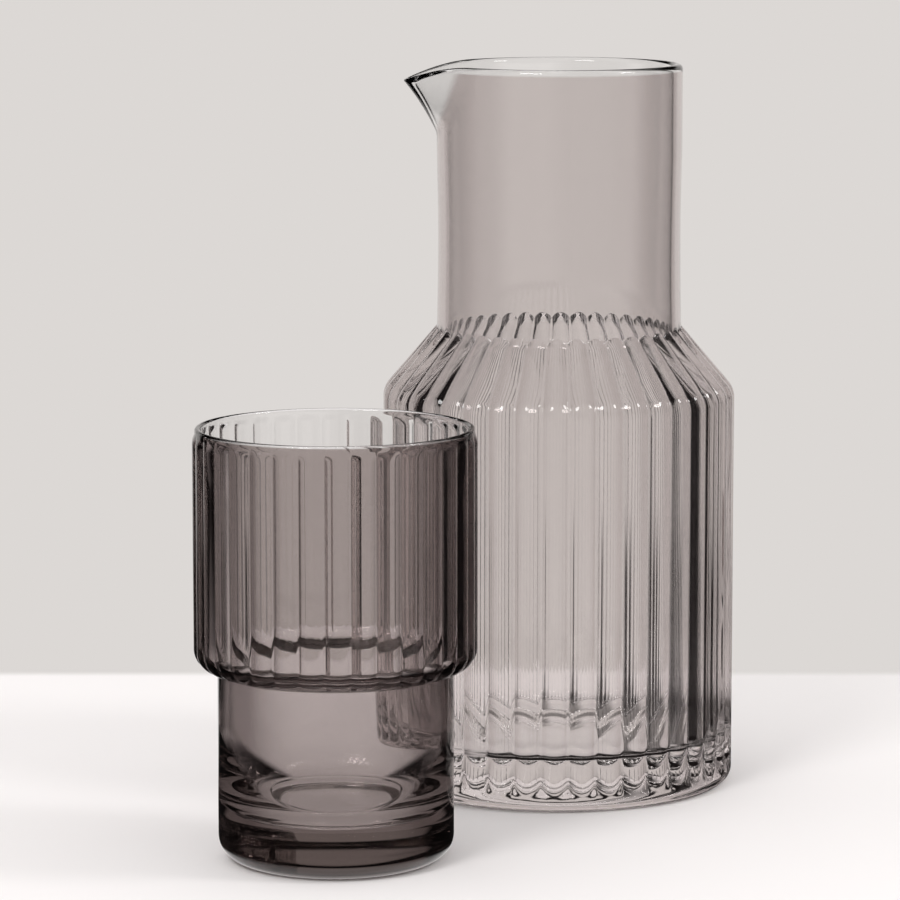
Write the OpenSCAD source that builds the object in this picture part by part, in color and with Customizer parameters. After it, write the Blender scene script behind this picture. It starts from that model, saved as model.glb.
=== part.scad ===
// A ribbed glass carafe with a pouring lip, and the stepped tumbler that stands in front of it.
// The origin is the centre of the carafe's foot, on the table. Z points up and the lip points to -X.
// Lengths are in millimetres and angles in degrees.

/* [Carafe body] */
// Radius over the crests of the body's ribs
body_r = 50; // [46:0.5:54]
// Height of the corner where the upright wall would meet the shoulder
shoulder_z = 113; // [90:0.5:116]
// Lean of the shoulder from the upright
shoulder_lean = 40.5; // [36:0.5:46]
// Radius that rounds the shoulder's corner
shoulder_round = 7; // [3:0.5:9]
// Radius that rounds the corner under the body
base_round = 4; // [2:0.5:6]
// Radius of the hollow under the base, inside the ring that it stands on
punt_r = 40; // [30:0.5:44]
// Width of the curve by which that hollow comes down to the ring
punt_side = 20; // [10:1:30]
// Depth of the hollow under the base
punt_depth = 3.5; // [0.5:0.1:6]
// Thickness of the wall behind the valleys of the ribs
body_wall = 2.2; // [1.8:0.1:3.6]
// Height of the inner floor over the table
body_floor = 14; // [11:0.5:20]
// Radius that rounds the edge of the inner floor
body_floor_round = 2.8; // [1:0.1:8]

/* [Carafe ribs] */
// Number of ribs round the body
body_ribs = 40; // [30:1:48]
// Depth of the valleys between the ribs
body_rib_depth = 1.4; // [0.4:0.1:1.6]
// Height over the table where the valleys reach that depth, fading out below it on the plain foot
body_rib_full_z = 10; // [7:0.5:20]
// Depth of those valleys where the shoulder meets the neck
neck_rib_depth = 1; // [0.4:0.1:1.3]
// Turn of the ribs about the upright axis
body_rib_turn = -2.4; // [-6:0.1:6]
// Radius that rounds the upper ends of the ribs, where they die into the neck
rib_nose_r = 1.2; // [0.6:0.1:1.4]

/* [Carafe neck] */
// Outer radius of the neck
neck_r = 34.7; // [33:0.1:37]
// Thickness of the neck's wall
neck_wall = 2.9; // [2.4:0.1:3.2]
// Height of the rim over the table
rim_z = 205; // [180:0.5:220]

/* [Pouring lip] */
// Distance from the neck's axis to the tip of the lip
lip_reach = 44.5; // [41:0.5:47]
// Drop of the tip under the rim
lip_drop = 4.5; // [3:0.1:6]
// Distance from the rim down to the place where the lip leaves the neck
lip_root_drop = 22; // [16:0.5:26]
// Radius of the rounded tip, seen from above
lip_tip_r = 3; // [2.6:0.1:4]
// Thickness of the glass round the channel of the lip
lip_wall = 2; // [1.4:0.1:2.2]

/* [Tumbler cup] */
// Height of the tumbler
tumbler_h = 115.5; // [105:0.5:125]
// Height of the step where the ribbed cup widens from the foot
cup_step_z = 51; // [45:0.5:56]
// Radius over the crests of the cup's ribs
cup_r = 37.6; // [36.5:0.1:39.5]
// Outer radius of the plain band at the rim
cup_rim_r = 36.85; // [36:0.05:37]
// Radius that rounds the corner under the cup
cup_round = 6; // [3:0.5:6]
// Thickness of the glass at the rim
cup_wall = 2; // [1.4:0.1:2.6]
// Thickness of the glass over the step, measured upwards
cup_step_wall = 3.2; // [2.4:0.1:4.5]
// Radius that rounds the inside of the cup over the step
cup_inner_round = 5; // [3:0.5:5.5]

/* [Tumbler ribs] */
// Number of ribs round the cup
cup_ribs = 34; // [26:1:40]
// Depth of the valleys between the ribs
cup_rib_depth = 0.9; // [0.8:0.05:1.2]
// Turn of the ribs about the tumbler's axis
cup_rib_turn = 2.3; // [-6:0.1:6]
// Height of the plain band between the rim and the ribs
rim_band_h = 1; // [0.6:0.1:2]
// Height over which the upper ends of the ribs round over
rib_end_h = 2.2; // [1:0.1:4]

/* [Tumbler foot] */
// Outer radius of the foot, which also fits the carafe's neck
foot_r = 31.3; // [30.8:0.1:31.5]
// Radius that rounds the corner under the foot
foot_round = 6.8; // [4:0.2:8]
// Thickness of the foot's wall where the bowl begins
foot_wall = 2.4; // [2:0.1:3.4]
// Height at which the inside starts to close into a bowl
bowl_top_z = 37; // [30:0.5:45]
// Height of the bottom of the bowl over the table
bowl_z = 13.2; // [12:0.2:20]
// Radius of the shallow well in the bottom of the bowl
well_r = 18.5; // [12:0.5:20]
// Depth of the well in the bottom of the bowl
well_depth = 0.8; // [0.4:0.1:2]
// Radius of the hollow under the foot
foot_punt_r = 22; // [14:0.5:22.5]
// Width of the curve by which that hollow comes down to the table
foot_punt_side = 6; // [4:0.5:12]
// Depth of the hollow under the foot
foot_punt_depth = 3; // [0.3:0.1:4]

/* [Place of the tumbler] */
// How far the tumbler stands to the lip's side of the carafe
tumbler_x = -61.2; // [-75:0.2:-56]
// How far the tumbler stands in front of the carafe
tumbler_y = -98.7; // [-115:0.1:-90]

/* [Hidden] */
smoke = [0.46, 0.42, 0.42, 0.55];
pale_smoke = [0.72, 0.68, 0.68, 0.5];

// Each rib is a shallow arc that drops from its crest to a sharp valley at both sides.
rib_steps = 4;
corner_steps = 4;
curve_steps = 12;
hull_sides = 32;
round_sides = 120;
// Overrun of each cut past the face that it opens, and the sink of one solid in the next
cut_over = 1;
joint_sink = 1.2;

// Unit vector at an angle, as [radius, height]
function aim(angle) = [cos(angle), sin(angle)];
// Points along an arc from one angle to another
function arc(centre, r, from, to, steps) =
    [for (i = [0:steps]) centre + r * aim(from + (to - from) * i / steps)];
// A ring of a ribbed skin: [crest radius, height, outward aim of the profile, depth of the valleys]
function ring(point, facing, depth) = [point[0], point[1], facing, depth];
function ring_arc(centre, r, from, to, steps, depths) =
    [for (i = [0:steps]) let (turn = from + (to - from) * i / steps)
        ring(centre + r * aim(turn), aim(turn), depths[0] + (depths[1] - depths[0]) * i / steps)];

// Share of the rib's depth that is lost at a step across the rib, from valley to crest
function rib_drop_share(step) = pow(2 * (step % rib_steps) / rib_steps - 1, 2);

// Carafe: the outer skin's profile, from the foot up to the neck
shoulder_tangent = shoulder_round * tan(shoulder_lean / 2);
nose_r = neck_r + rib_nose_r * (1 - cos(shoulder_lean));
nose_z = shoulder_z + (body_r - nose_r) / tan(shoulder_lean);
nose_centre = [nose_r, nose_z] - rib_nose_r * aim(shoulder_lean);
body_rings = concat(
    ring_arc([body_r - base_round, base_round], base_round, -90, 0, corner_steps, [0, 0]),
    [ring([body_r, body_rib_full_z], [1, 0], body_rib_depth)],
    ring_arc([body_r - shoulder_round, shoulder_z - shoulder_tangent], shoulder_round,
        0, shoulder_lean, corner_steps, [body_rib_depth, body_rib_depth]),
    ring_arc(nose_centre, rib_nose_r, shoulder_lean, 90, corner_steps / 2, [neck_rib_depth, 0]),
    [ring([neck_r - joint_sink, nose_centre[1] + rib_nose_r], [0, 1], 0)]);

// Carafe: the inner profile runs behind the skin at the wall's thickness
body_in_r = body_r - body_rib_depth - body_wall;
bore_r = neck_r - neck_wall;
skin_offset = body_r - body_in_r;
shoulder_in_z = shoulder_z - skin_offset * tan(shoulder_lean / 2);
bore_z = shoulder_in_z + (body_in_r - bore_r) / tan(shoulder_lean);
shoulder_in_round = shoulder_round - skin_offset / 2;
shoulder_in_tangent = shoulder_in_round * tan(shoulder_lean / 2);

// Lip: the tip's height, and the circle inside the neck's wall that its sides run out from
tip_z = rim_z - lip_drop;
lip_root_z = rim_z - lip_root_drop;
lip_side_r = neck_r - neck_wall / 2;
channel_side_r = bore_r - neck_wall / 2;

// Tumbler: the ribbed skin's profile, from the step up to the plain rim
cup_valley_r = cup_r - cup_rib_depth;
rib_top_z = tumbler_h - rim_band_h;
rib_full_z = rib_top_z - rib_end_h;
cup_rings = concat(
    [ring([foot_r - joint_sink, cup_step_z], [0, -1], 0)],
    ring_arc([cup_r - cup_round, cup_step_z + cup_round], cup_round, -90, 0, corner_steps,
        [0, cup_rib_depth]),
    [for (i = [0:corner_steps]) let (turn = 90 * i / corner_steps)
        ring([cup_valley_r + cup_rib_depth * cos(turn), rib_full_z + rib_end_h * sin(turn)],
            [1, 0], cup_rib_depth * cos(turn))],
    [ring([cup_rim_r - joint_sink, rib_top_z], [0, 1], 0)]);

// Tumbler: the inner profile, a cup over the step and a bowl in the foot
cup_in_r = cup_rim_r - cup_wall;
foot_in_r = foot_r - foot_wall;
cup_in_z = cup_step_z + cup_step_wall;
well_z = bowl_z - well_depth;
tumbler_at = [tumbler_x, tumbler_y, 0];

// A closed skin with ribs, from a list of rings that runs upwards
module ribbed_skin(rings, ribs, turn) {
    columns = ribs * rib_steps;
    last = len(rings) - 1;
    points = [for (level = rings, step = [0:columns - 1])
        let (sink = level[3] * rib_drop_share(step),
            r = level[0] - sink * level[2][0],
            z = level[1] - sink * level[2][1],
            a = turn + 360 * (step - rib_steps / 2) / columns - 90)
        [r * cos(a), r * sin(a), z]];
    walls = [for (i = [0:last - 1], step = [0:columns - 1])
        let (a = i * columns + step,
            b = i * columns + (step + 1) % columns,
            c = b + columns,
            d = a + columns)
        each [[a, d, b], [b, d, c]]];
    under = [for (step = [0:columns - 1]) step];
    over = [for (step = [columns - 1:-1:0]) last * columns + step];
    polyhedron(points, concat([under], walls, [over]), convexity = 10);
}

// The hollow under a foot: level in its middle, then an even curve down to the table
module hollow_under(reach, side, depth) {
    rotate_extrude($fn = round_sides)
        polygon(concat(
            [[0, -cut_over], [reach, -cut_over]],
            [for (i = [0:curve_steps]) let (share = i / curve_steps)
                [reach - side * share, depth * (1 - cos(180 * share)) / 2]],
            [[0, depth]]));
}

module carafe_outside() {
    ribbed_skin(body_rings, body_ribs, body_rib_turn);
    rotate_extrude($fn = round_sides)
        polygon(concat(
            [[0, shoulder_z], [neck_r, shoulder_z]],
            arc([neck_r - neck_wall / 2, rim_z - neck_wall / 2], neck_wall / 2, 0, 90, corner_steps),
            [[0, rim_z]]));
    lip_outside();
}

module lip_outside() {
    hull() {
        translate([lip_tip_r - lip_reach, 0, tip_z - lip_wall])
            cylinder(h = lip_wall, r1 = lip_tip_r - lip_wall / 2, r2 = lip_tip_r, $fn = hull_sides);
        translate([0, 0, lip_root_z])
            cylinder(h = lip_root_drop - neck_wall / 2, r = lip_side_r, $fn = hull_sides);
    }
}

module lip_channel() {
    channel_tip_r = lip_tip_r - lip_wall / 2;
    hull() {
        translate([lip_tip_r - lip_reach + lip_wall / 2, 0, tip_z])
            cylinder(h = lip_drop + cut_over, r = channel_tip_r, $fn = hull_sides);
        translate([0, 0, lip_root_z + lip_wall])
            cylinder(h = lip_root_drop, r = channel_side_r, $fn = hull_sides);
    }
}

module carafe_inside() {
    rotate_extrude($fn = round_sides)
        polygon(concat(
            [[0, body_floor]],
            arc([body_in_r - body_floor_round, body_floor + body_floor_round], body_floor_round,
                -90, 0, 2 * corner_steps),
            arc([body_in_r - shoulder_in_round, shoulder_in_z - shoulder_in_tangent],
                shoulder_in_round, 0, shoulder_lean, corner_steps),
            [[bore_r, bore_z]],
            arc([neck_r - neck_wall / 2, rim_z - neck_wall / 2], neck_wall / 2, 180, 90, corner_steps),
            [[neck_r - neck_wall / 2, rim_z + cut_over], [0, rim_z + cut_over]]));
}

module carafe() {
    color(pale_smoke)
        difference() {
            carafe_outside();
            carafe_inside();
            lip_channel();
            hollow_under(punt_r, punt_side, punt_depth);
        }
}

module tumbler_outside() {
    ribbed_skin(cup_rings, cup_ribs, cup_rib_turn);
    rotate_extrude($fn = round_sides)
        polygon(concat(
            [[0, 0]],
            arc([foot_r - foot_round, foot_round], foot_round, -90, 0, 2 * corner_steps),
            [[foot_r, cup_step_z + joint_sink], [0, cup_step_z + joint_sink]]));
    rotate_extrude($fn = round_sides)
        polygon(concat(
            [[0, rib_full_z - rib_end_h], [cup_rim_r, rib_full_z - rib_end_h]],
            arc([cup_rim_r - cup_wall / 2, tumbler_h - cup_wall / 2], cup_wall / 2, 0, 90, corner_steps),
            [[0, tumbler_h]]));
}

module tumbler_inside() {
    rotate_extrude($fn = round_sides)
        polygon(concat(
            [[0, well_z], [well_r, well_z], [well_r, bowl_z]],
            [for (i = [1:curve_steps]) let (turn = 90 * i / curve_steps)
                [well_r + (foot_in_r - well_r) * sin(turn), bowl_top_z - (bowl_top_z - bowl_z) * cos(turn)]],
            [[foot_in_r, cup_in_z]],
            arc([cup_in_r - cup_inner_round, cup_in_z + cup_inner_round], cup_inner_round,
                -90, 0, corner_steps),
            arc([cup_rim_r - cup_wall / 2, tumbler_h - cup_wall / 2], cup_wall / 2, 180, 90, corner_steps),
            [[cup_rim_r - cup_wall / 2, tumbler_h + cut_over], [0, tumbler_h + cut_over]]));
}

module tumbler() {
    color(smoke)
        translate(tumbler_at)
            difference() {
                tumbler_outside();
                tumbler_inside();
                hollow_under(foot_punt_r, foot_punt_side, foot_punt_depth);
            }
}

carafe();
tumbler();
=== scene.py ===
# %% [markdown]
# # A ribbed glass carafe and its tumbler
# Clear glass has no colour of its own to paint. What the eye reads is its shape, how thick it is,
# and what stands around it. So this lesson builds two closed walls of glass at their real
# thickness, gives each one a smoked material, and then spends its care on the set around them.
# The profiles are in millimetres and degrees, and the scene is in metres.

# %% The frame and the colour of the picture
import math

import bpy
import numpy as np
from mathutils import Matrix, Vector


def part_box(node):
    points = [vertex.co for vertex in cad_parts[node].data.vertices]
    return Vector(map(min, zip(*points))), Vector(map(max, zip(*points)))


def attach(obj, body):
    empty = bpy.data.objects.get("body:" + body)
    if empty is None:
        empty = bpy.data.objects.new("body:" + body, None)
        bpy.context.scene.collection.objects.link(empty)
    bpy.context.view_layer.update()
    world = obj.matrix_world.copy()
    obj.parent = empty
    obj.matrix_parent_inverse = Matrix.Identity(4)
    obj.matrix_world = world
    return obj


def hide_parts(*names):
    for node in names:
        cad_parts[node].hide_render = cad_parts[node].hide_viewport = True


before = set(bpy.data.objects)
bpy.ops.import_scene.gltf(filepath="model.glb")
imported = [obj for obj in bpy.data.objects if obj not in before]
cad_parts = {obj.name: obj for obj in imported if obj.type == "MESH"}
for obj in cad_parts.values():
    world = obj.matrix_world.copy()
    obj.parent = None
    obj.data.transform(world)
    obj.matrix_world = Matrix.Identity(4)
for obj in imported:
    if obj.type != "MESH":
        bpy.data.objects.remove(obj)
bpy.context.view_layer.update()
MM = 0.001
scene = bpy.context.scene
scene.view_settings.view_transform = "Standard"

# %% [markdown]
# ## How far light is followed
# A ray that crosses both vessels meets eight skins of glass, and inside a rib or a thick foot it is
# turned back many more times. Each of these is a bounce, and a ray that runs out of bounces ends
# black. The default limits would do for a window pane, but the fine lines in the ribs are such long
# paths, so the limits for glass and mirrors go far above them. The matt table needs only a few.

# %% Bounces
GLASS_BOUNCES, MIRROR_BOUNCES, MATT_BOUNCES = 32, 12, 3
scene.cycles.max_bounces = GLASS_BOUNCES
scene.cycles.transmission_bounces = GLASS_BOUNCES
scene.cycles.glossy_bounces = MIRROR_BOUNCES
scene.cycles.diffuse_bounces = MATT_BOUNCES
print("bounces: glass", GLASS_BOUNCES, "mirror", MIRROR_BOUNCES, "matt", MATT_BOUNCES)

# %% [markdown]
# ## The camera
# The photograph was taken with a long lens from a little above the table. A camera can be moved by
# eye until the outlines agree, but with a long lens many places nearly fit. The rims, the
# shoulder, the step and the feet are all circles, and the shapes of their ellipses leave only one
# place and one tilt, so those are written here.

# %% Camera
CAMERA_AT = (-30.96 * MM, -1233 * MM, 275.4 * MM)
CAMERA_TILT = 8.331
CAMERA_LENS, SENSOR_WIDTH = 174.54, 36
SEES_TO = 100


def make_camera():
    data = bpy.data.cameras.new("camera")
    data.lens, data.sensor_width, data.clip_end = CAMERA_LENS, SENSOR_WIDTH, SEES_TO
    camera = bpy.data.objects.new("camera", data)
    camera.location = CAMERA_AT
    camera.rotation_euler = (math.radians(90 - CAMERA_TILT), 0, 0)
    scene.collection.objects.link(camera)
    scene.camera = camera


make_camera()
print("camera at", CAMERA_AT, "tilted down", CAMERA_TILT, "degrees, lens", CAMERA_LENS, "mm")

# %% [markdown]
# ## Sums written as nodes
# Both the glass maker's rule for a rib and the pattern of a light are arithmetic. Such sums can be
# clicked together node by node, but a page of Math nodes is hard to read. Wrapping a socket in a
# small class lets them be written as ordinary Python, where each sign adds its Math node. One more
# method adds any other node.


# %% The wrapper for sockets
class Value:
    """One socket of a node tree. Signs and calls on it add nodes to that tree."""

    def __init__(self, tree, socket=None):
        self.tree, self.socket = tree, socket

    def node(self, kind, inputs=(), out=0, **settings):
        made = self.tree.nodes.new(kind)
        for name, setting in settings.items():
            setattr(made, name, setting)
        for name, value in dict(inputs).items():
            if isinstance(value, Value):
                self.tree.links.new(value.socket, made.inputs[name])
            else:
                made.inputs[name].default_value = value
        return Value(self.tree, made.outputs[out] if made.outputs else None)

    def maths(self, operation, *values):
        return self.node("ShaderNodeMath", enumerate(values), operation=operation)

    def __add__(self, other):
        return self.maths("ADD", self, other)

    def __sub__(self, other):
        return self.maths("SUBTRACT", self, other)

    def __rsub__(self, other):
        return self.maths("SUBTRACT", other, self)

    def __mul__(self, other):
        return self.maths("MULTIPLY", self, other)

    def __truediv__(self, other):
        return self.maths("DIVIDE", self, other)

    def __rtruediv__(self, other):
        return self.maths("DIVIDE", other, self)

    __radd__, __rmul__ = __add__, __mul__

    def at_least(self, other):
        return self.maths("MAXIMUM", self, other)

    def at_most(self, other):
        return self.maths("MINIMUM", self, other)

    def ramp(self, low, high, smooth=True):
        """0 at low and 1 at high, level past both ends."""
        return self.node("ShaderNodeMapRange", {"Value": self, "From Min": low, "From Max": high},
                         interpolation_type="SMOOTHSTEP" if smooth else "LINEAR")

    def part(self, axis):
        return self.node("ShaderNodeSeparateXYZ", {0: self}, out=axis)


# %% [markdown]
# ## Smoked glass
# Seen through its thick base the carafe is no darker than through its thin neck, so the smoke isn't
# in the glass: it is a thin coat on the outside. A tint in the whole volume would turn the base
# black and leave the neck pale. A Principled surface with full transmission colours the light that
# crosses it, so the outer skin takes the smoke as its Base Color.
#
# - Seen along the wall, the way through the coat is longer. Layer Weight's Facing, with its Blend at
#   a half, says how far the skin turns away, and the colour goes over to a darker one there.
# - The inner skin and the underside have no coat, nor have the pouring lip and the top of the rim.
#   A second material could dress them, but a wall with two materials is two volumes to Cycles, and
#   it loses count and turns the glass black. So one material reads two attributes, "clear" and
#   "bare", that the shape stores.
# - Light is dimmed only on its way in. The far wall, seen from inside through the open mouth, is as
#   pale as the room, and Backfacing tells the two ways apart.
# - The tumbler's solid foot is a little darker and warmer than its wall. A weak absorption in its
#   volume does that, because it grows with the length of the way through.

# %% Glass materials
GLASS_IOR, POLISHED = 1.5, 0.0
CARAFE_SMOKE, CARAFE_SIDE = (0.61, 0.527, 0.512, 1), (0.44, 0.365, 0.355, 1)
TUMBLER_SMOKE, TUMBLER_SIDE = (0.285, 0.225, 0.215, 1), (0.07, 0.05, 0.048, 1)
NO_COAT = (1, 1, 1, 1)
EVEN_FACING, SIDE_FROM, SIDE_TO = 0.5, 0.03, 0.36
TUMBLER_DEPTH, DEPTH_COLOUR = 22.0, (0.10, 0.02, 0.0, 1)
FIRST_COLOUR, SECOND_COLOUR, MIXED_COLOUR = 6, 7, 2


def mixed(share, first, second):
    """One colour at 0 and another at 1. A Mix node keeps its colours in these numbered sockets."""
    return share.node("ShaderNodeMix", {"Factor": share, FIRST_COLOUR: first, SECOND_COLOUR: second},
                      out=MIXED_COLOUR, data_type="RGBA")


def glass(name, smoke, side_smoke, depth=0.0):
    material = bpy.data.materials.new(name)
    material.use_nodes = True
    material.node_tree.nodes.clear()
    tree = Value(material.node_tree)
    facing = tree.node("ShaderNodeLayerWeight", {"Blend": EVEN_FACING}, out="Facing")
    coat = mixed(facing.ramp(SIDE_FROM, SIDE_TO), smoke, side_smoke)
    leaving = tree.node("ShaderNodeNewGeometry", out="Backfacing")
    clear = tree.node("ShaderNodeAttribute", out="Fac", attribute_name="clear")
    bare = tree.node("ShaderNodeAttribute", out="Fac", attribute_name="bare")
    skin = tree.node("ShaderNodeBsdfPrincipled", {
        "Base Color": mixed(leaving.at_least(clear).at_least(bare), coat, NO_COAT),
        "Roughness": POLISHED, "IOR": GLASS_IOR, "Transmission Weight": 1.0})
    ends = {"Surface": skin}
    if depth:
        ends["Volume"] = tree.node("ShaderNodeVolumeAbsorption", {
            "Color": DEPTH_COLOUR, "Density": depth})
    tree.node("ShaderNodeOutputMaterial", ends)
    print(name, len(material.node_tree.nodes), "nodes")
    return material


carafe_glass = glass("carafe_glass", CARAFE_SMOKE, CARAFE_SIDE)
tumbler_glass = glass("tumbler_glass", TUMBLER_SMOKE, TUMBLER_SIDE, TUMBLER_DEPTH)

# %% [markdown]
# ## The rule for a wall of spun glass
# Both vessels are one profile spun round an axis: it starts under the foot, climbs the outside,
# rolls over the rim and comes down the inside to the middle of the floor. A Screw modifier could
# spin it, but the ribs, the scallops that they end in and the pouring lip would then be cut or
# sculpted by hand. They all follow rules, so Geometry Nodes shape them while they spin the wall.
# One tree makes both vessels. These are its inputs, and the values that a profile's points keep.

# %% Names of the rule's inputs
SPIN_INPUTS = {
    "Profile": "Geometry", "Ribs": "Int", "Steps per Rib": "Int", "Rib Power": "Float",
    "Turn": "Float", "Lip Root": "Float", "Rim": "Float", "Lip Stretch": "Float",
    "Lip Drop": "Float", "Lip Tip": "Float", "Wave Seed": "Float", "Place": "Vector",
    "Foot Row": "Int", "Rim Row": "Int", "Material": "Material",
}
ROW_VALUES = ("radius", "height", "face_out", "face_up", "rib_depth", "core", "wave")
print("the rule has", len(SPIN_INPUTS), "inputs and", len(ROW_VALUES), "values for each row")

# %% [markdown]
# ## A flat grid that knows the profile
# The tree starts with a flat grid, one row for each point of the profile and one column for each
# step round the axis. Each row looks up what the profile's point of the same number keeps. Spinning
# is then only a sum that gives every point of the grid its new place.

# %% Reading the profile row by row
GRID_SIZE = 1.0


def read_profile(tree, given):
    """The grid, and for its points the row's values, the row, the column and the angle."""
    rows = tree.node("GeometryNodeAttributeDomainSize", {"Geometry": given["Profile"]},
                     out="Point Count", component="MESH")
    columns = given["Ribs"] * given["Steps per Rib"]
    grid = tree.node("GeometryNodeMeshGrid", {
        "Size X": GRID_SIZE, "Size Y": GRID_SIZE, "Vertices X": columns + 1, "Vertices Y": rows})
    flat = tree.node("GeometryNodeInputPosition")
    column = tree.maths("ROUND", (flat.part("X") + GRID_SIZE / 2) * columns)
    row = (flat.part("Y") + GRID_SIZE / 2) * (rows - 1)
    index = tree.node("FunctionNodeFloatToInt", {0: row}, rounding_mode="ROUND")

    def stored(name):
        field = tree.node("GeometryNodeInputNamedAttribute", {"Name": name}, data_type="FLOAT")
        return tree.node("GeometryNodeSampleIndex", {
            "Geometry": given["Profile"], "Value": field, "Index": index},
            data_type="FLOAT", domain="POINT")

    value = {name: stored(name) for name in ROW_VALUES}
    value["row"], value["column"] = row, column
    value["angle"] = column / columns * math.tau + given["Turn"]
    return grid, value


# %% [markdown]
# ## Ribs
# Pressed ribs have round crests and sharp valleys between them, and each one works as an upright
# lens. From the crest the wall drops by a power of the distance: a cosine would be easier, but its
# round valleys lose the thin dark lines. The drop goes straight into the wall, whichever way the
# wall faces there, so the ribs lean with the shoulder. No rib goes inside the core, which is the
# neck's own circle, and that is what ends the ribs in scallops.


# %% The rule for a rib
def ribbed(tree, given, value):
    """The wall's radius and height, with the ribs pressed into it."""
    share = tree.maths("FRACT", value["column"] / given["Steps per Rib"])
    across = tree.maths("ABSOLUTE", share * 2 - 1)
    drop = tree.maths("POWER", across, given["Rib Power"]) * value["rib_depth"]
    radius = (value["radius"] - value["face_out"] * drop).at_least(value["core"])
    return radius, value["height"] - value["face_up"] * drop


# %% [markdown]
# ## The pouring lip
# A lip is pulled out of the soft neck round a peg. Seen from above, the wall then has the shape of
# a cord stretched round the neck and the peg: its sides leave the circle as tangents. One divided
# by a cosine draws such a tangent, and a cosine of nothing is 1, which leaves the circle alone. The
# pull grows from the lip's root to the rim, and the tip sinks as it is pulled. Inside and outside
# move by the same rule, so the wall keeps its thickness, where a lip cut from a cone would not.

# %% The rule for a lip
LEAST_STRETCH = 0.001


def pulled(tree, given, value):
    """How many times its own radius the wall is out at the lip, and how far it sinks there."""
    from_tip = tree.maths("ARCTAN2", tree.maths("SINE", value["angle"]) * -1,
                          tree.maths("COSINE", value["angle"]) * -1)
    rounded = tree.maths("SQRT", from_tip * from_tip + given["Lip Tip"] * given["Lip Tip"])
    climb = value["height"].ramp(given["Lip Root"], given["Rim"], smooth=False)
    tangent = tree.maths("ARCCOSINE", 1 / (climb * given["Lip Stretch"] + 1))
    stretch = 1 / tree.maths("COSINE", (tangent - rounded).at_least(0.0))
    sag = (stretch - 1) / given["Lip Stretch"].at_least(LEAST_STRETCH) * climb * given["Lip Drop"]
    return stretch, sag


# %% [markdown]
# ## A slightly uneven wall
# Blown glass is never quite even inside, and it shows in lines that waver behind it. A bump map
# could bend the light as well, but the thickness would stay perfect. So a slow noise moves the
# inner wall itself, by less than a tenth of a millimetre, with a seed of its own for each vessel.

# %% The place of each point of the wall
WAVES_PER_METRE, WAVE_DETAIL, NOISE_MIDDLE = 38, 1.0, 0.5


def wall_place(tree, given, value, stretch, sag):
    """Where each point of the grid goes."""
    radius, height = ribbed(tree, given, value)
    turned = tree.node("ShaderNodeCombineXYZ", {
        "X": tree.maths("COSINE", value["angle"]), "Y": tree.maths("SINE", value["angle"]), "Z": 0.0})
    wall = tree.node("ShaderNodeCombineXYZ", {
        "X": radius * stretch * turned.part("X"), "Y": radius * stretch * turned.part("Y"),
        "Z": height - sag})
    noise = tree.node("ShaderNodeTexNoise", {
        "Vector": wall, "W": given["Wave Seed"], "Scale": WAVES_PER_METRE, "Detail": WAVE_DETAIL},
        noise_dimensions="4D")
    waver = tree.node("ShaderNodeVectorMath", {
        0: turned, "Scale": (noise - NOISE_MIDDLE) * value["wave"]}, operation="SCALE")
    place = tree.node("ShaderNodeVectorMath", {0: wall, 1: waver}, operation="ADD")
    return tree.node("ShaderNodeVectorMath", {0: place, 1: given["Place"]}, operation="ADD")


# %% [markdown]
# ## Where the coat ends
# The coat ends sharply where the outside does, under the foot and at the rim, so "clear" is a yes
# or a no on each face. On the lip and the top of the rim it thins out, so "bare" is a number on
# each point, which a material reads as a soft change: it is 1 where the lip has stretched the wall
# by a fiftieth. Both come from the numbers that shape the wall. A painted map could do the same,
# but it would have to be painted again for every new size.

# %% Marks for the coat
BARE_LIP, BARE_RIM, BARE_EDGE = 0.02, 0.0018, 0.0004


def marked(tree, given, value, grid, stretch):
    """The grid with the two attributes that the glass reads."""
    clear = tree.maths("GREATER_THAN", value["row"], given["Rim Row"]).at_least(
        tree.maths("LESS_THAN", value["row"], given["Foot Row"]))
    rim = given["Rim"] - BARE_RIM
    bare = stretch.ramp(1.0, 1 + BARE_LIP).at_least(value["height"].ramp(rim, rim + BARE_EDGE))
    grid = tree.node("GeometryNodeStoreNamedAttribute", {
        "Geometry": grid, "Name": "clear", "Value": clear}, data_type="BOOLEAN", domain="FACE")
    return tree.node("GeometryNodeStoreNamedAttribute", {
        "Geometry": grid, "Name": "bare", "Value": bare}, data_type="FLOAT", domain="POINT")


# %% [markdown]
# ## The whole tree
# Now the parts of the rule meet. After the grid has its shape, Merge by Distance joins its first
# and last column into one seam and gathers the first and last row into the two poles. Only then is
# the glass closed, and only in closed glass can light be bent on its way in and again on its way
# out. The tree ends in Realize Instances and Set Material, so that its result is a plain mesh.

# %% The spinning tree
SEAM_GAP = 1e-6


def spin_tree():
    group = bpy.data.node_groups.new("spun_glass", "GeometryNodeTree")
    for name, kind in SPIN_INPUTS.items():
        group.interface.new_socket(name, in_out="INPUT", socket_type="NodeSocket" + kind)
    group.interface.new_socket("Glass", in_out="OUTPUT", socket_type="NodeSocketGeometry")
    tree = Value(group)
    sockets = group.nodes.new("NodeGroupInput").outputs
    given = {name: Value(group, sockets[name]) for name in SPIN_INPUTS}

    grid, value = read_profile(tree, given)
    stretch, sag = pulled(tree, given, value)
    wall = marked(tree, given, value, grid, stretch)
    place = wall_place(tree, given, value, stretch, sag)
    wall = tree.node("GeometryNodeSetPosition", {"Geometry": wall, "Position": place})
    wall = tree.node("GeometryNodeMergeByDistance", {"Geometry": wall, "Distance": SEAM_GAP})
    wall = tree.node("GeometryNodeSetShadeSmooth", {"Geometry": wall})
    wall = tree.node("GeometryNodeRealizeInstances", {"Geometry": wall})
    wall = tree.node("GeometryNodeSetMaterial", {"Geometry": wall, "Material": given["Material"]})
    tree.node("NodeGroupOutput", {"Glass": wall})
    return group


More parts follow.
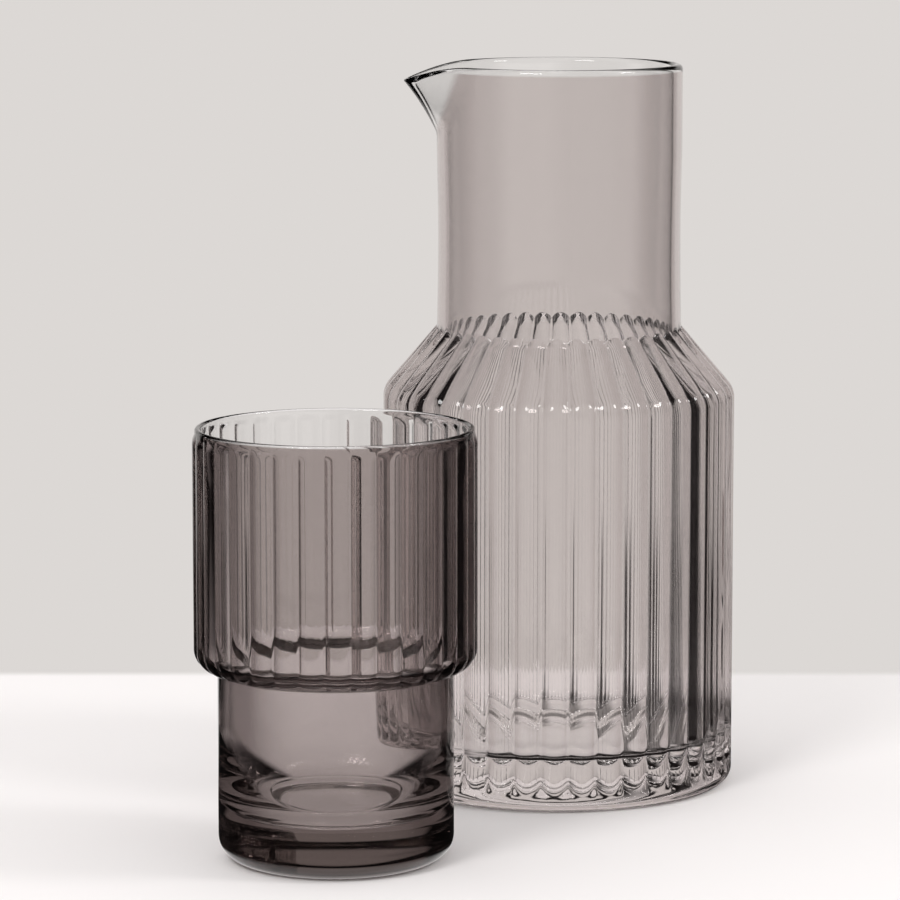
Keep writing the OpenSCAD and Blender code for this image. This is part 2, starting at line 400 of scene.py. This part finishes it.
spin = spin_tree()
print("spinning tree", len(spin.nodes), "nodes")

# %% [markdown]
# ## Drawing a profile
# A profile could be a list of points, but then no size in it could be changed. Here it is drawn as
# a turner would say it: along here, round this corner, softly down to there. Every point also keeps
# how deep the ribs are there, the core that they stop at, and how much the wall may waver.

# %% The outline
SAME_POINT = 0.001
RADIUS, HEIGHT = 0, 1


def aim(angle):
    return np.array([math.cos(math.radians(angle)), math.sin(math.radians(angle))])


class Outline:
    """A profile in millimetres, as points of radius and height, with the glass on its left."""

    def __init__(self, start):
        self.points, self.depths = [np.array(start, float)], [0.0]
        self.cores, self.waves = [0.0], [0.0]
        self.core, self.wave = 0.0, 0.0

    def add(self, point, depth):
        """One more point. An arc that starts where the last run ended doesn't repeat it."""
        if math.dist(point, self.points[-1]) < SAME_POINT:
            return
        self.points.append(np.array(point, float))
        self.depths.append(depth)
        self.cores.append(self.core)
        self.waves.append(self.wave)

    def to(self, end, steps=1, depths=(0.0, 0.0), bow=0.0):
        """A straight run, or one that bows outwards by a little in its middle."""
        start = self.points[-1].copy()
        for i in range(1, steps + 1):
            share = i / steps
            middle = np.array([bow * math.sin(math.pi * share), 0])
            self.add(start + (np.array(end) - start) * share + middle,
                     depths[0] + (depths[1] - depths[0]) * share)

    def ease(self, end, steps, soft_axis, depth=0.0):
        """A run that is even on one axis, and starts and ends softly on the other."""
        start = self.points[-1].copy()
        for i in range(1, steps + 1):
            share = i / steps
            soft = (1 - math.cos(math.pi * share)) / 2
            gone = np.array([share, share])
            gone[soft_axis] = soft
            self.add(start + (np.array(end) - start) * gone, depth * (1 - soft))

    def round(self, centre, radius, start, end, steps, depths=(0.0, 0.0)):
        """An arc between two angles. Two radii make it part of an ellipse."""
        for i in range(steps + 1):
            share = i / steps
            turn = start + (end - start) * share
            self.add(np.array(centre) + np.array(radius) * aim(turn),
                     depths[0] + (depths[1] - depths[0]) * share)

    def row_values(self):
        """What the tree reads, in metres. On the axis nothing wavers, so that the poles close."""
        points = np.array(self.points) * MM
        runs = np.diff(points, axis=0)
        runs /= np.linalg.norm(runs, axis=1, keepdims=True)
        along = np.vstack([runs[:1], runs[:-1] + runs[1:], runs[-1:]])
        along /= np.linalg.norm(along, axis=1, keepdims=True)
        return dict(zip(ROW_VALUES, (
            points[:, 0], points[:, 1], along[:, 1], -along[:, 0], np.array(self.depths) * MM,
            np.array(self.cores) * MM, np.where(points[:, 0] > 0, self.waves, 0) * MM)))


# %% [markdown]
# ## From a profile to a piece of glass
# The profile becomes a mesh of edges whose points carry the row values as attributes, and the tree
# runs on it as a modifier. A modifier's input goes by its socket's identifier, so the names are
# looked up first. The result is read back as a plain mesh and the modifier goes, because the
# finished piece should be nothing but its own faces.

# %% Spinning one piece
FRONT = -90


def first_column(crest, ribs):
    """The angle of the grid's first column, half a rib before the crest nearest the front."""
    return math.radians(crest + FRONT - 180 / ribs)


def spun_glass(name, outline, **inputs):
    """One closed piece of glass, spun from its outline."""
    values = outline.row_values()
    count = len(outline.points)
    mesh = bpy.data.meshes.new(name + "_profile")
    mesh.from_pydata([(r, 0, z) for r, z in zip(values["radius"], values["height"])],
                     [(i, i + 1) for i in range(count - 1)], [])
    for label, numbers in values.items():
        store = mesh.attributes.new(label, "FLOAT", "POINT")
        store.data.foreach_set("value", numbers.astype(np.float32))
    piece = bpy.data.objects.new(name, mesh)
    scene.collection.objects.link(piece)
    modifier = piece.modifiers.new("spin", "NODES")
    modifier.node_group = spin
    sockets = {item.name: item.identifier for item in spin.interface.items_tree
               if item.in_out == "INPUT"}
    inputs["Rim_Row"] = int(np.argmax(values["height"]))
    inputs["Foot_Row"] = int(np.argmin(values["height"]))
    for label, value in inputs.items():
        modifier[sockets[label.replace("_", " ")]] = value
    ready = piece.evaluated_get(bpy.context.evaluated_depsgraph_get())
    solid = bpy.data.meshes.new_from_object(ready)
    piece.modifiers.clear()
    piece.data = solid
    solid.name = name
    print(name, count, "rows,", len(solid.vertices), "points,",
          sum(len(face.vertices) - 2 for face in solid.polygons), "triangles")
    return piece


# %% [markdown]
# ## The carafe
# The body is a straight ribbed drum with a heavy base. Below 10 mm over the table its ribs fade
# out, and the foot stands on a narrow ring round a hollow, the punt. The shoulder closes at a
# steady slope to a plain neck, wide enough to take the tumbler's foot. The frame gives the overall
# sizes, so that they can't drift from the solids. The rest was measured on the photograph, or
# judged from it where the glass hides it. The lip's stretch is a share of the neck's radius, and
# its tip is rounded over a few degrees.

# %% Sizes of the carafe
carafe_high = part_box("carafe")[1]
RIM_Z, BODY_R = carafe_high.z / MM, carafe_high.x / MM
SHOULDER_Z, SHOULDER_LEAN, SHOULDER_ROUND, SHOULDER_LEAD = 113.0, 40.5, 7.0, 2.0
BASE_ROUND, PUNT_R, PUNT_SIDE, PUNT_DEPTH = 4.0, 40.0, 20.0, 3.5
BODY_WALL, BODY_FLOOR, FLOOR_ROUND, BODY_WAVE = 2.2, 14.0, 2.8, 0.12
BODY_RIBS, STEPS_PER_BODY_RIB, BODY_CREST = 40, 12, -2.4
BODY_RIB_DEPTH, NECK_RIB_DEPTH, BODY_RIB_POWER, RIB_FULL_Z = 1.4, 1.0, 2.0, 10.0
NOSE_R, SCALLOP_RUN = 1.2, 2.4
NECK_R, NECK_WAIST, NECK_WALL, NECK_LEAD, RIM_LEAD = 34.7, 0.35, 2.9, 0.4, 0.5
BORE_ROUND, BORE_RISE, BORE_LEAD = 5.0, 1.2, 2.0
LIP_ROOT_DROP, LIP_STRETCH, LIP_DROP, LIP_TIP, UNDER_LIP = 20.0, 0.352, 5.2, 3.4, 4.0
CARAFE_SEED = 3.0
print("carafe", round(2 * BODY_R, 2), "mm across and", round(RIM_Z, 2), "mm tall")

# %% [markdown]
# ## The carafe's outside
# Under the shoulder's top end the steps get small, because the ribs run into the neck there and
# the scallops need points enough. The small nose over it is the fold between shoulder and neck. The
# neck bows in by a third of a millimetre, so that its reflections aren't as straight as a pipe's.


# %% Outside of the carafe
def carafe_outside():
    lean = math.radians(SHOULDER_LEAN)
    tangent = SHOULDER_ROUND * math.tan(lean / 2)
    nose_r = NECK_R + NOSE_R * (1 - math.cos(lean))
    nose = np.array([nose_r, SHOULDER_Z + (BODY_R - nose_r) / math.tan(lean)])
    nose_centre = nose - NOSE_R * aim(SHOULDER_LEAN)
    slope = np.array([-math.sin(lean), math.cos(lean)])
    rim_r = NECK_WALL / 2
    full, at_neck = (BODY_RIB_DEPTH, BODY_RIB_DEPTH), (NECK_RIB_DEPTH, NECK_RIB_DEPTH)

    line = Outline((0, PUNT_DEPTH))
    line.to((PUNT_R - PUNT_SIDE, PUNT_DEPTH), steps=2)
    line.ease((PUNT_R, 0), steps=12, soft_axis=HEIGHT)
    line.round((BODY_R - BASE_ROUND, BASE_ROUND), BASE_ROUND, -90, 0, steps=12)
    line.to((BODY_R, RIB_FULL_Z), steps=8, depths=(0, BODY_RIB_DEPTH))
    line.to((BODY_R, SHOULDER_Z - tangent - SHOULDER_LEAD), steps=6, depths=full)
    line.round((BODY_R - SHOULDER_ROUND, SHOULDER_Z - tangent), SHOULDER_ROUND, 0, SHOULDER_LEAN,
               steps=12, depths=full)
    line.core = NECK_R
    line.to(nose - SCALLOP_RUN * slope, steps=6, depths=at_neck)
    line.to(nose, steps=8, depths=at_neck)
    line.round(nose_centre, NOSE_R, SHOULDER_LEAN, 90, steps=8, depths=(NECK_RIB_DEPTH, 0))
    line.to((NECK_R, nose_centre[HEIGHT] + NOSE_R + NECK_LEAD), steps=2)
    line.core = 0
    line.to((NECK_R, RIM_Z - LIP_ROOT_DROP - UNDER_LIP), steps=12, bow=-NECK_WAIST)
    line.to((NECK_R, RIM_Z - rim_r - RIM_LEAD), steps=18)
    line.round((NECK_R - rim_r, RIM_Z - rim_r), rim_r, 0, 180, steps=16)
    return line


# %% [markdown]
# ## The carafe's inside
# The inner wall runs behind the ribs at an even distance and has no ribs of its own. An offset of
# the outside would carry the punt and the foot's round inside too, where the real floor is nearly
# flat, so the inside has its own runs and arcs. The line goes on from the rim, down the neck and
# the body, to the middle of the floor.


# %% Inside of the carafe
def carafe_inside(line):
    half_lean = math.tan(math.radians(SHOULDER_LEAN) / 2)
    in_r, bore_r = BODY_R - BODY_RIB_DEPTH - BODY_WALL, NECK_R - NECK_WALL
    in_z = SHOULDER_Z - (BODY_R - in_r) * half_lean
    in_round = SHOULDER_ROUND - (BODY_R - in_r) / 2
    bore_z = in_z + (in_r - bore_r) / math.tan(math.radians(SHOULDER_LEAN))

    line.to((bore_r, RIM_Z - LIP_ROOT_DROP - UNDER_LIP), steps=14)
    line.wave = BODY_WAVE
    line.to((bore_r, bore_z + BORE_LEAD), steps=10, bow=-NECK_WAIST)
    line.round((bore_r + BORE_ROUND, bore_z + BORE_RISE), BORE_ROUND, 180, 180 + SHOULDER_LEAN,
               steps=6)
    line.round((in_r - in_round, in_z - in_round * half_lean), in_round, SHOULDER_LEAN, 0, steps=10)
    line.to((in_r, BODY_FLOOR + FLOOR_ROUND), steps=14)
    line.round((in_r - FLOOR_ROUND, BODY_FLOOR + FLOOR_ROUND), FLOOR_ROUND, 0, -90, steps=16)
    line.to((0, BODY_FLOOR), steps=8)
    return line


# %% Carafe
carafe = spun_glass(
    "carafe_glass_wall", carafe_inside(carafe_outside()), Ribs=BODY_RIBS,
    Steps_per_Rib=STEPS_PER_BODY_RIB, Rib_Power=BODY_RIB_POWER,
    Turn=first_column(BODY_CREST, BODY_RIBS), Lip_Root=(RIM_Z - LIP_ROOT_DROP) * MM,
    Rim=RIM_Z * MM, Lip_Stretch=LIP_STRETCH, Lip_Drop=LIP_DROP * MM, Lip_Tip=math.radians(LIP_TIP),
    Wave_Seed=CARAFE_SEED, Material=carafe_glass)
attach(carafe, "carafe")
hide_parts("carafe")

# %% [markdown]
# ## The tumbler
# A thick plain foot holds a small bowl, and over it a step widens to a ribbed cup with a thin
# plain rim. The same tree spins it. Its lip has no stretch, and starts at the rim and is full a
# millimetre over it, so it never begins. Its ribs have sharper valleys than the carafe's.

# %% Sizes of the tumbler
tumbler_low, tumbler_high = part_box("tumbler")
TUMBLER_PLACE = ((tumbler_low.x + tumbler_high.x) / 2, (tumbler_low.y + tumbler_high.y) / 2, 0)
TUMBLER_H = tumbler_high.z / MM
STEP_Z, STEP_FILLET, STEP_LEAD = 51.0, 0.5, 0.6
CUP_R, CUP_RIM_R, CUP_ROUND, CUP_ROUND_FROM = 37.6, 36.85, 6.0, -88
CUP_WALL, STEP_WALL, CUP_IN_ROUND, CUP_IN_ROUND_TO, STEP_EDGE = 2.0, 3.2, 3.0, -85, 0.9
RIM_WALL, RIM_TAPER_H, CUP_WAVE = 1.5, 14.0, 0.1
CUP_RIBS, STEPS_PER_CUP_RIB, CUP_CREST = 34, 14, 2.3
CUP_RIB_DEPTH, CUP_RIB_POWER, BAND_H, RIB_END_H, CUP_LEAD = 0.7, 2.4, 1.0, 3.0, 1.0
FOOT_R, FOOT_ROUND, FOOT_WALL = 31.3, 6.8, 2.4
BOWL_TOP_Z, BOWL_Z, WELL_R, WELL_DEPTH, WELL_ROUND, WELL_NARROWS = 37.0, 13.2, 18.5, 0.8, 0.8, 0.2
FOOT_PUNT_R, FOOT_PUNT_SIDE, FOOT_PUNT_DEPTH = 22.0, 6.0, 3.0
PAST_RIM, TUMBLER_SEED = 1.0, 8.0
print("tumbler", round(2 * CUP_R, 2), "mm across and", round(TUMBLER_H, 2), "mm tall at", TUMBLER_PLACE)

# %% [markdown]
# ## The tumbler's outside
# The foot has a wide round at the table and a small fillet under the step. At the top of the cup
# the ribs fade while the wall draws in, so that a lip meets a smooth band.


# %% Outside of the tumbler
def tumbler_outside():
    rib_full = TUMBLER_H - BAND_H - RIB_END_H
    rim_r = RIM_WALL / 2
    full = (CUP_RIB_DEPTH, CUP_RIB_DEPTH)

    line = Outline((0, FOOT_PUNT_DEPTH))
    line.to((FOOT_PUNT_R - FOOT_PUNT_SIDE, FOOT_PUNT_DEPTH), steps=2)
    line.ease((FOOT_PUNT_R, 0), steps=8, soft_axis=HEIGHT)
    line.round((FOOT_R - FOOT_ROUND, FOOT_ROUND), FOOT_ROUND, -90, 0, steps=16)
    line.to((FOOT_R, STEP_Z - STEP_LEAD), steps=4)
    line.round((FOOT_R + STEP_FILLET, STEP_Z - STEP_FILLET), STEP_FILLET, 180, 90, steps=3)
    line.round((CUP_R - CUP_ROUND, STEP_Z + CUP_ROUND), CUP_ROUND, CUP_ROUND_FROM, 0, steps=16,
               depths=(0, CUP_RIB_DEPTH))
    line.to((CUP_R, rib_full - CUP_LEAD), steps=5, depths=full)
    line.to((CUP_R, rib_full), depths=full)
    line.ease((CUP_RIM_R, rib_full + RIB_END_H), steps=10, soft_axis=RADIUS, depth=CUP_RIB_DEPTH)
    line.round((CUP_RIM_R - rim_r, TUMBLER_H - rim_r), rim_r, 0, 180, steps=14)
    return line


# %% [markdown]
# ## The tumbler's inside
# Inside, the cup's wall thins towards the rim, and a rounded edge over the step leads down into
# the foot. Its bowl is a quarter of an ellipse, which gives the pale U in the dark foot, and a
# shallow well is sunk in the bowl's floor.


# %% Inside of the tumbler
def tumbler_inside(line):
    cup_in_r, foot_in_r = CUP_RIM_R - CUP_WALL, FOOT_R - FOOT_WALL
    step_in_z, well_z = STEP_Z + STEP_WALL, BOWL_Z - WELL_DEPTH

    line.wave = CUP_WAVE
    line.to((cup_in_r, TUMBLER_H - RIM_TAPER_H), steps=6)
    line.to((cup_in_r, step_in_z + CUP_IN_ROUND), steps=12)
    line.round((cup_in_r - CUP_IN_ROUND, step_in_z + CUP_IN_ROUND), CUP_IN_ROUND, 0,
               CUP_IN_ROUND_TO, steps=10)
    line.round((foot_in_r + STEP_EDGE, step_in_z - STEP_EDGE), STEP_EDGE, 90, 180, steps=6)
    line.round((WELL_R, BOWL_TOP_Z), (foot_in_r - WELL_R, BOWL_TOP_Z - BOWL_Z), 0, -90, steps=24)
    line.round((WELL_R - WELL_NARROWS, well_z + WELL_ROUND), WELL_ROUND, 0, -90, steps=5)
    line.to((0, well_z), steps=6)
    return line


# %% Tumbler
tumbler = spun_glass(
    "tumbler_glass_wall", tumbler_inside(tumbler_outside()), Ribs=CUP_RIBS,
    Steps_per_Rib=STEPS_PER_CUP_RIB, Rib_Power=CUP_RIB_POWER,
    Turn=first_column(CUP_CREST, CUP_RIBS), Lip_Root=TUMBLER_H * MM,
    Rim=(TUMBLER_H + PAST_RIM) * MM, Lip_Stretch=0.0, Lip_Drop=0.0, Lip_Tip=math.radians(LIP_TIP),
    Wave_Seed=TUMBLER_SEED, Place=TUMBLER_PLACE, Material=tumbler_glass)
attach(tumbler, "tumbler")
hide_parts("tumbler")

# %% [markdown]
# ## Pale and dark directions
# Glass draws its own edges out of the dark and pale things around it, which is why black cards
# stand beside it in a studio. Real cards could be modelled, but the camera would see them, and they
# would shade the table. Here a card is only a stretch of directions round the set, and only rays
# that glass has bent or mirrored meet it. Light Path knows which rays those are.
#
# - The black card stands all round, on the table and past it, except in a wedge of 80 degrees
#   behind the glasses. The low card narrows that wedge to 56 degrees within 0.55 m of a vessel, and
#   the near card to 10 degrees within 0.15 m.
# - In two windows the cards are left out for bent rays, so that the glass isn't black to someone
#   who looks through it from behind or from the right.
# - The foot card is a narrow ring without windows, a painted shadow on the table close round the
#   carafe's foot. It is the dark line round the carafe's base.
#
# Directions are counted from 90 degrees to 450, so that no card is cut in two.

# %% Dark stretches, in degrees round from +X
BLACK_CARD = (130, 410)
WINDOWS = ((172, 194), (272, 335))
LOW_CARD, NEAR_CARD = ((118, 422), 0.55, WINDOWS), ((95, 445), 0.15, WINDOWS)
# The foot card is painted shadow: a dark ring on the table round the carafe's foot, seen only through
# glass.
FOOT_SHADOW_RING = ((95, 445), 0.06, ())
FIRST_TURN, WHOLE_TURN = 90, 360.0
CARD_EDGE, WINDOW_EDGE = 4.0, 15.0
# The cards' black, also used for the painted shadow on the table round the carafe's foot.
CARD_AND_SHADOW_TONE = (0.012, 0.010, 0.010, 1)
print("black card over", BLACK_CARD[1] - BLACK_CARD[0], "degrees, with windows at", WINDOWS)


# %% Which rays meet a card
def light_path(tree, question):
    return tree.node("ShaderNodeLightPath", out=question)


def lights_table(tree):
    """1 for a ray that looks for light from the matt table, also through glass."""
    return light_path(tree, "Diffuse Depth").at_most(1.0)


def from_glass(tree):
    """1 for a ray from the camera that glass has bent or mirrored."""
    turned = light_path(tree, "Is Glossy Ray").at_least(light_path(tree, "Is Transmission Ray"))
    return turned * (1 - lights_table(tree))


def carded(tree, east, north, card, windows=WINDOWS):
    """1 in the directions that a black card covers."""
    turn = tree.maths("ARCTAN2", north, east) * (180 / math.pi)
    turn = tree.maths("FLOORED_MODULO", turn - FIRST_TURN, WHOLE_TURN) + FIRST_TURN

    def within(start, end, edge):
        return turn.ramp(start - edge, start + edge) * (1 - turn.ramp(end - edge, end + edge))

    bent = light_path(tree, "Is Transmission Ray")
    share = within(*card, CARD_EDGE)
    for window in windows:
        share = share * (1 - within(*window, WINDOW_EDGE) * bent)
    return share


# %% [markdown]
# ## The table and the wall behind it
# One pale floor stands for both. Near the glasses it is a plain matt surface that takes their
# shadow. Past the line where the photograph's wall begins it shows the wall's greyer tone, as an
# emission that no lamp or shadow changes. A second plane could stand up there as the wall, but it
# would have to end somewhere, and the floor can simply go on.
#
# Rays from glass see the table mostly as an even pale emission too, so that it isn't grey with
# shadow through the vessels. The cards lie on the table round each foot, and the narrow foot card
# round the carafe is a painted shadow there, seen only through the glass. They start at a distance
# from the middle of the vessel, which for the carafe is well under its foot, and each fades out
# over a share of its reach. A point of the table is dark only where both vessels' cards lie.

# %% Table and wall
TABLE_COLOUR = (0.905, 0.871, 0.863, 1)
WALL_COLOUR = (0.716, 0.687, 0.666, 1)
WALL_LINE_Y, WALL_BLUR = 0.149, 0.005
UNDER_CARAFE = 30.0
# For each vessel: its middle, where its table cards start, and the cards. The carafe's foot card is the
# painted shadow round its foot.
FEET = (
    ((0, 0), UNDER_CARAFE * MM, (LOW_CARD, NEAR_CARD, FOOT_SHADOW_RING)),
    (TUMBLER_PLACE[:2], FOOT_R * MM, (LOW_CARD,)),
)
CARD_GAP, CARD_BLUR = 0.003, 0.2
TABLE_SHOWN = 0.8
FLOOR_HALF = 14.0


def dark_on_table(tree, place):
    """1 where the cards of both vessels lie on the table, the carafe's painted foot shadow too."""
    dark = from_glass(tree)
    for (x, y), foot, cards_and_shadow in FEET:
        east, north = place.part("X") - x, place.part("Y") - y
        away = tree.maths("SQRT", east * east + north * north)
        card = carded(tree, east, north, BLACK_CARD)
        for dark_stretch, reach, windows in cards_and_shadow:
            near = 1 - away.ramp(reach * (1 - CARD_BLUR), reach * (1 + CARD_BLUR))
            card = card.at_least(carded(tree, east, north, dark_stretch, windows) * near)
        dark = dark.at_most(away.ramp(foot, foot + CARD_GAP) * card)
    return dark


# %% The floor's material
def floor_material():
    material = bpy.data.materials.new("pale_table")
    material.use_nodes = True
    material.node_tree.nodes.clear()
    tree = Value(material.node_tree)
    place = tree.node("ShaderNodeTexCoord", out="Object")
    beyond = place.part("Y").ramp(WALL_LINE_Y - WALL_BLUR, WALL_LINE_Y + WALL_BLUR)
    table = tree.node("ShaderNodeBsdfDiffuse", {"Color": TABLE_COLOUR})
    shown = tree.node("ShaderNodeEmission", {"Color": TABLE_COLOUR})
    wall = tree.node("ShaderNodeEmission", {"Color": WALL_COLOUR})
    # The cards' black on the table, which round the carafe's foot is a painted shadow.
    card = tree.node("ShaderNodeEmission", {"Color": CARD_AND_SHADOW_TONE})
    table = tree.node("ShaderNodeMixShader", {0: from_glass(tree) * TABLE_SHOWN, 1: table, 2: shown})
    pale = tree.node("ShaderNodeMixShader", {0: beyond, 1: table, 2: wall})
    both = tree.node("ShaderNodeMixShader", {0: dark_on_table(tree, place), 1: pale, 2: card})
    tree.node("ShaderNodeOutputMaterial", {"Surface": both})
    print("pale_table", len(material.node_tree.nodes), "nodes")
    return material


# %% Floor
def make_floor():
    mesh = bpy.data.meshes.new("floor")
    h = FLOOR_HALF
    mesh.from_pydata([(-h, -h, 0), (h, -h, 0), (h, h, 0), (-h, h, 0)], [], [(0, 1, 2, 3)])
    mesh.materials.append(floor_material())
    floor = bpy.data.objects.new("floor", mesh)
    scene.collection.objects.link(floor)


make_floor()
print("floor", 2 * FLOOR_HALF, "m square, wall from y", WALL_LINE_Y)

# %% [markdown]
# ## The room and its lamps
# The world is the pale room as the camera sees it, and a soft light for the matt table. To rays
# from glass it is also the black card, and a dark band of ceiling over which the room is pale
# again, as under a softbox. The band darkens the edges that mirror it, and the pale top keeps the
# mouths bright. Lamps alone could light the set, but then every edge that mirrors the empty room
# would be one flat tone. Two soft lamps add the shadow's side and the small bright marks on the
# crests of the ribs.

# %% World
ROOM_COLOUR = (0.716, 0.687, 0.666, 1)
SOFT_WHITE, SOFT_LIGHT = (1, 1, 1, 1), 0.86
CEILING_FROM, CEILING_TO = 0.22, 0.34
SOFTBOX_FROM, SOFTBOX_TO = 0.50, 0.62


def make_world():
    world = bpy.data.worlds.new("room")
    scene.world = world
    world.use_nodes = True
    world.node_tree.nodes.clear()
    tree = Value(world.node_tree)
    way = tree.node("ShaderNodeTexCoord", out="Generated")
    pale = tree.node("ShaderNodeBackground", {"Color": ROOM_COLOUR, "Strength": 1.0})
    soft = tree.node("ShaderNodeBackground", {"Color": SOFT_WHITE, "Strength": SOFT_LIGHT})
    card = tree.node("ShaderNodeBackground", {"Color": CARD_AND_SHADOW_TONE, "Strength": 1.0})
    room = tree.node("ShaderNodeMixShader", {0: lights_table(tree), 1: pale, 2: soft})
    ceiling = way.part("Z").ramp(CEILING_FROM, CEILING_TO) * (
        1 - way.part("Z").ramp(SOFTBOX_FROM, SOFTBOX_TO))
    dark = carded(tree, way.part("X"), way.part("Y"), BLACK_CARD).at_least(ceiling) * from_glass(tree)
    cards = tree.node("ShaderNodeMixShader", {0: dark, 1: room, 2: card})
    tree.node("ShaderNodeOutputWorld", {"Surface": cards})
    print("room", ROOM_COLOUR[:3], "with soft light", SOFT_LIGHT)


make_world()

# %% Lamps
SET_MIDDLE = (-0.02, -0.04, 0.1)
LAMPS = (
    ("key_lamp", (-0.62, -1.02, 1.10), 0.5, 7.0),
    ("side_lamp", (1.10, -0.34, 1.05), 0.38, 4.2),
)


def make_lamp(name, place, width, power):
    data = bpy.data.lights.new(name, "AREA")
    data.shape, data.size, data.energy = "DISK", width, power
    lamp = bpy.data.objects.new(name, data)
    lamp.location = place
    towards = Vector(SET_MIDDLE) - Vector(place)
    lamp.rotation_euler = towards.to_track_quat("-Z", "Y").to_euler()
    scene.collection.objects.link(lamp)
    print(name, power, "W,", round(towards.length, 2), "m from the set")


for lamp in LAMPS:
    make_lamp(*lamp)
